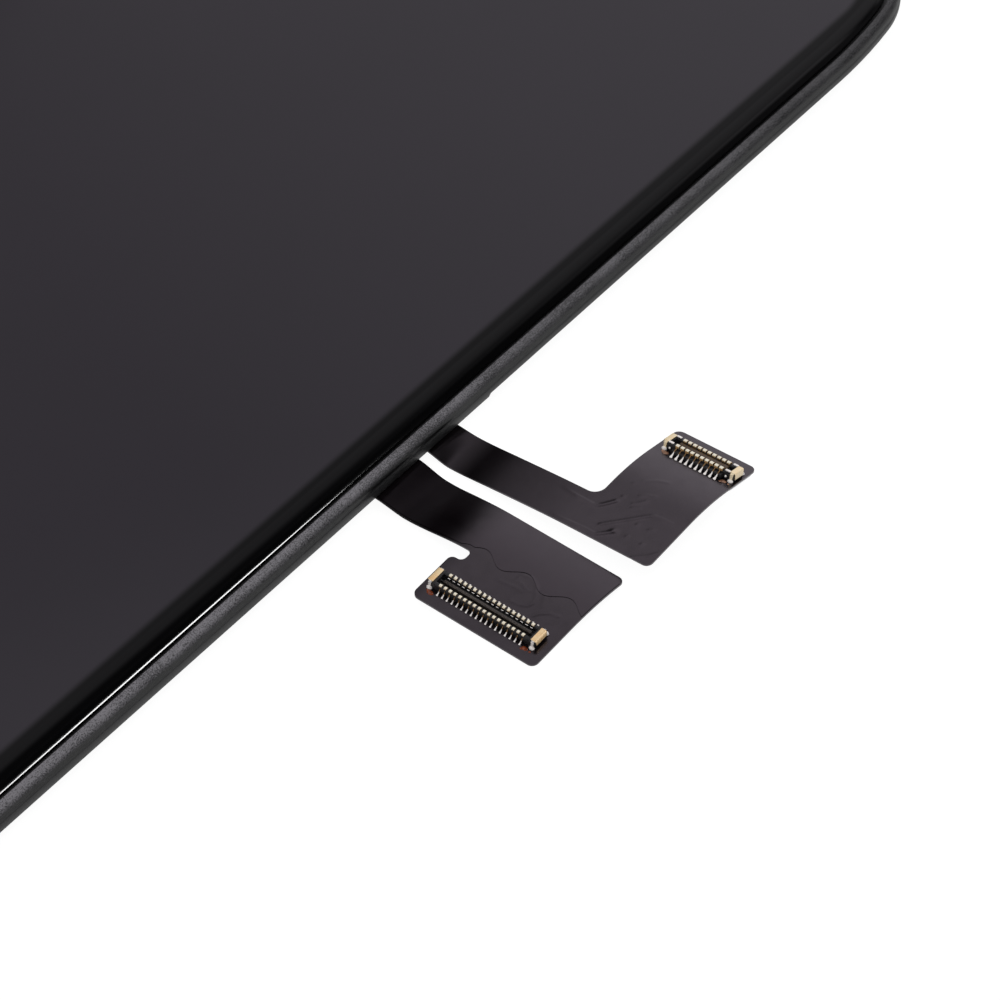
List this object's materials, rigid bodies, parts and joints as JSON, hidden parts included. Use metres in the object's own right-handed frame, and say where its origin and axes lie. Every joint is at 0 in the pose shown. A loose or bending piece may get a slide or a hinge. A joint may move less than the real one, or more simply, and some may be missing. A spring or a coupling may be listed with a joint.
{
  "type": "phone lcd screen assembly",
  "caption": "Slim phone display module with a bonded cover glass in a black bezel frame, a backlight behind it, and two flex circuits with board connectors leaving one long side.",
  "frame": {"origin": "centre of the rear face that the module lies on, under the middle of the glass", "axes": "+X towards the long side that the flex circuits leave, +Y along the glass to the earpiece end, +Z out of the glass"},
  "size_m": [0.0844, 0.1412, 0.0026],
  "materials": {
    "cover_glass": "black under clear glass, polished",
    "border_ink": "printed black",
    "mesh": "black mesh",
    "glue": "black bead",
    "clear_adhesive": "clear",
    "polariser": "grey film",
    "cell_glass": "polished",
    "silicon": "ground",
    "black_tape": "matte black film",
    "optical_film": "clear ribbed film",
    "diffuser": "milky film",
    "light_guide": "clear moulded",
    "reflector": "white film",
    "tray": "white moulded",
    "led_body": "pale yellow",
    "strip_film": "black film",
    "pan_steel": "bright pressed steel",
    "plate_steel": "satin pressed steel",
    "graphite": "black film",
    "foam": "black foam",
    "frame": "fine sand-blasted black",
    "flex_film": "satin black cover layer",
    "shield_film": "satin black film",
    "stiffener": "thin steel",
    "connector_plastic": "black moulded",
    "contact_gold": "gold plated"
  },
  "bodies": {
    "root": {"cover_glass": "cover_glass", "border_mask": "border_ink", "earpiece_mesh": "mesh", "frame_adhesive": "glue", "optical_adhesive": "clear_adhesive", "front_polariser": "polariser", "rear_polariser": "polariser", "colour_filter_glass": "cell_glass", "array_glass": "cell_glass", "driver_chip": "silicon", "rim_tape": "black_tape", "upper_prism_sheet": "optical_film", "lower_prism_sheet": "optical_film", "diffuser_sheet": "diffuser", "light_guide_plate": "light_guide", "reflector_sheet": "reflector", "backlight_tray": "tray", "backlight_leds": "led_body", "led_strip": "strip_film", "backlight_pan": "pan_steel", "rear_plate": "plate_steel", "graphite_sheet": "graphite", "rear_cushion": "foam", "bezel_frame": "frame", "driver_film": "strip_film", "display_flex": "flex_film", "touch_flex": "flex_film", "display_shield": "shield_film", "display_stiffener": "stiffener", "touch_stiffener": "stiffener", "display_connector_housing": "connector_plastic", "touch_connector_housing": "connector_plastic", "display_contacts": "contact_gold", "touch_contacts": "contact_gold", "display_hold_downs": "contact_gold", "touch_hold_downs": "contact_gold"}
  },
  "joints": []
}
